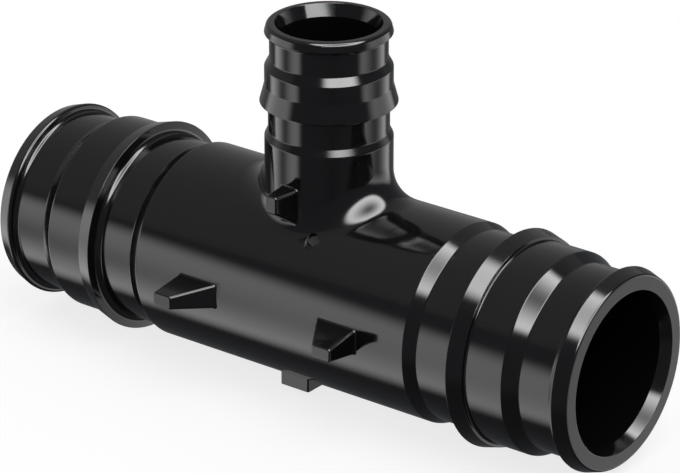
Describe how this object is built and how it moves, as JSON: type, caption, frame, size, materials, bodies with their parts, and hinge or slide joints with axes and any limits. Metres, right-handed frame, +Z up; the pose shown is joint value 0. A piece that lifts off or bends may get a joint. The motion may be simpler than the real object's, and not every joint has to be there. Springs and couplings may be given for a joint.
{
  "type": "reducing tee",
  "caption": "One-piece black plastic reducing tee for expanded plastic pipe: a straight run with equal barbed spigots, a smaller barbed branch, and pipe stop lugs.",
  "frame": {"origin": "where the axis of the branch crosses the axis of the run, at the middle of the run's length", "axes": "+X along the run, +Z up the branch, the mould opens along Y and the gate mark is on the -Y side"},
  "size_m": [0.1348, 0.0538, 0.0731],
  "materials": {
    "tee": "smooth glossy black moulded plastic"
  },
  "bodies": {
    "root": {"tee": "tee"}
  },
  "joints": []
}
